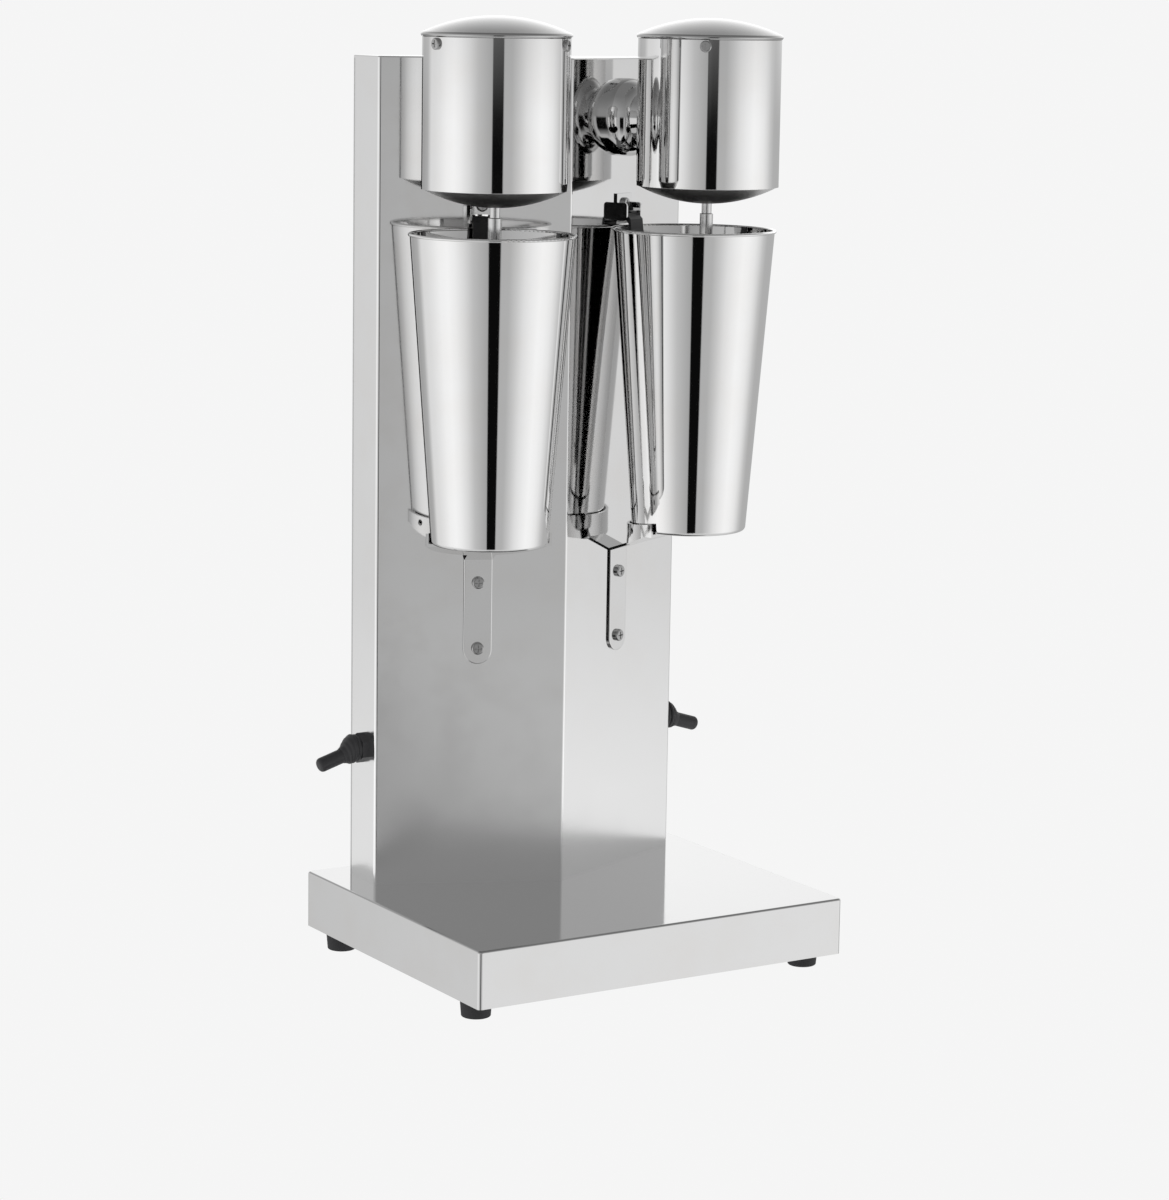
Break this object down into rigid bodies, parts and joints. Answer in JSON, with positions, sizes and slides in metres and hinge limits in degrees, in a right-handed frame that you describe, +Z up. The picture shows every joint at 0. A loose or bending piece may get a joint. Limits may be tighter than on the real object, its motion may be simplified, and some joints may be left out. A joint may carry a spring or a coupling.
{
  "type": "milkshake mixer",
  "caption": "Polished steel milkshake mixer with mixing heads side by side on a V-fronted column, cups, cup supports and toggle switches.",
  "frame": {"origin": "on the ground under the middle of the whole machine's footprint", "axes": "+Z up, front faces -Y, +X to the viewer's right"},
  "size_m": [0.256, 0.198, 0.53],
  "materials": {
    "steel_tray": "polished",
    "steel_column": "polished",
    "steel_cover": "satin",
    "steel_fastener": "bright",
    "bearing_steel": "ground",
    "cast_alloy": "cast",
    "lamination_steel": "stamped",
    "copper_coil": "enamelled wire",
    "brass_part": "pressed",
    "black_rubber": "matte",
    "black_plastic": "matte",
    "white_plastic": "matte",
    "steel_neck": "polished",
    "steel_head": "polished",
    "steel_lid": "polished",
    "steel_dish": "polished",
    "steel_shaft": "ground",
    "steel_rod": "satin",
    "steel_agitator": "polished",
    "steel_cup": "polished",
    "steel_support": "polished",
    "steel_bracket": "polished",
    "black_hook": "moulded",
    "black_boot": "moulded",
    "steel_lever": "plated"
  },
  "bodies": {
    "stand": {"base_tray": "steel_tray", "rubber_feet": "black_rubber", "foot_screws": "steel_fastener", "foot_nuts": "steel_fastener", "column_shell": "steel_column", "column_top_cap": "steel_column", "back_cover": "steel_cover", "back_cover_screws": "steel_fastener", "column_base_screws": "steel_fastener", "cable_gland": "black_plastic", "terminal_block": "white_plastic", "neck_bolts": "steel_fastener", "lid_screws": "steel_fastener", "bearings": "bearing_steel", "motor_frames": "cast_alloy", "stators": "lamination_steel", "field_coils": "copper_coil", "brush_holders": "brass_part", "support_screws": "steel_fastener", "bracket_screws": "steel_fastener", "neck_left": "steel_neck", "head_shell_left": "steel_head", "head_lid_left": "steel_lid", "head_bottom_left": "steel_dish", "cup_support_left": "steel_support", "trigger_bracket_left": "steel_bracket", "microswitch_left": "black_plastic", "toggle_body_left": "black_plastic", "toggle_nut_left": "black_boot", "neck_right": "steel_neck", "head_shell_right": "steel_head", "head_lid_right": "steel_lid", "head_bottom_right": "steel_dish", "cup_support_right": "steel_support", "trigger_bracket_right": "steel_bracket", "microswitch_right": "black_plastic", "toggle_body_right": "black_plastic", "toggle_nut_right": "black_boot"},
    "spindle_left": {"rotor_left": "lamination_steel", "fan_left": "black_plastic", "motor_shaft_left": "steel_shaft", "spindle_left": "steel_rod", "agitator_left": "steel_agitator"},
    "cup_left": {"cup_left": "steel_cup"},
    "trigger_left": {"trigger_left": "black_hook"},
    "plunger_left": {"plunger_left": "white_plastic"},
    "lever_left": {"toggle_lever_left": "steel_lever", "toggle_boot_left": "black_boot"},
    "spindle_right": {"rotor_right": "lamination_steel", "fan_right": "black_plastic", "motor_shaft_right": "steel_shaft", "spindle_right": "steel_rod", "agitator_right": "steel_agitator"},
    "cup_right": {"cup_right": "steel_cup"},
    "trigger_right": {"trigger_right": "black_hook"},
    "plunger_right": {"plunger_right": "white_plastic"},
    "lever_right": {"toggle_lever_right": "steel_lever", "toggle_boot_right": "black_boot"}
  },
  "joints": [
    {"name": "spindle_spin_left", "type": "hinge", "parent": "stand", "child": "spindle_left", "pos_m": [-0.06811, -0.02134, 0.43], "axis": [0, 0, 1], "continuous": true},
    {"name": "cup_swing_left", "type": "hinge", "parent": "stand", "child": "cup_left", "pos_m": [-0.04757, 0.0272, 0.4131], "axis": [-0.9209, 0.3898, 0], "range_deg": [0, 9]},
    {"name": "trigger_press_left", "type": "hinge", "parent": "stand", "child": "trigger_left", "pos_m": [-0.04819, 0.02572, 0.4186], "axis": [0.9209, -0.3898, 0], "range_deg": [0, 6], "stiffness_Nm_per_rad": 0.06, "springref_deg": -8.59},
    {"name": "plunger_slide_left", "type": "slide", "parent": "stand", "child": "plunger_left", "axis": [0, 0, 1], "range_m": [0, 0.00149]},
    {"name": "toggle_flip_left", "type": "hinge", "parent": "stand", "child": "lever_left", "pos_m": [-0.1005, 0.0675, 0.119], "axis": [0, 1, 0], "range_deg": [0, 34]},
    {"name": "spindle_spin_right", "type": "hinge", "parent": "stand", "child": "spindle_right", "pos_m": [0.06811, -0.02134, 0.43], "axis": [0, 0, 1], "continuous": true},
    {"name": "cup_swing_right", "type": "hinge", "parent": "stand", "child": "cup_right", "pos_m": [0.04757, 0.0272, 0.4131], "axis": [-0.9209, -0.3898, 0], "range_deg": [0, 9]},
    {"name": "trigger_press_right", "type": "hinge", "parent": "stand", "child": "trigger_right", "pos_m": [0.04819, 0.02572, 0.4186], "axis": [0.9209, 0.3898, 0], "range_deg": [0, 6], "stiffness_Nm_per_rad": 0.06, "springref_deg": -8.59},
    {"name": "plunger_slide_right", "type": "slide", "parent": "stand", "child": "plunger_right", "axis": [0, 0, 1], "range_m": [0, 0.00149]},
    {"name": "toggle_flip_right", "type": "hinge", "parent": "stand", "child": "lever_right", "pos_m": [0.1005, 0.0675, 0.119], "axis": [0, -1, 0], "range_deg": [0, 34]}
  ],
  "couplings": [
    {"joint": "plunger_slide_left", "follows": "trigger_press_left", "m_per_rad": 0.014},
    {"joint": "plunger_slide_right", "follows": "trigger_press_right", "m_per_rad": 0.014}
  ]
}
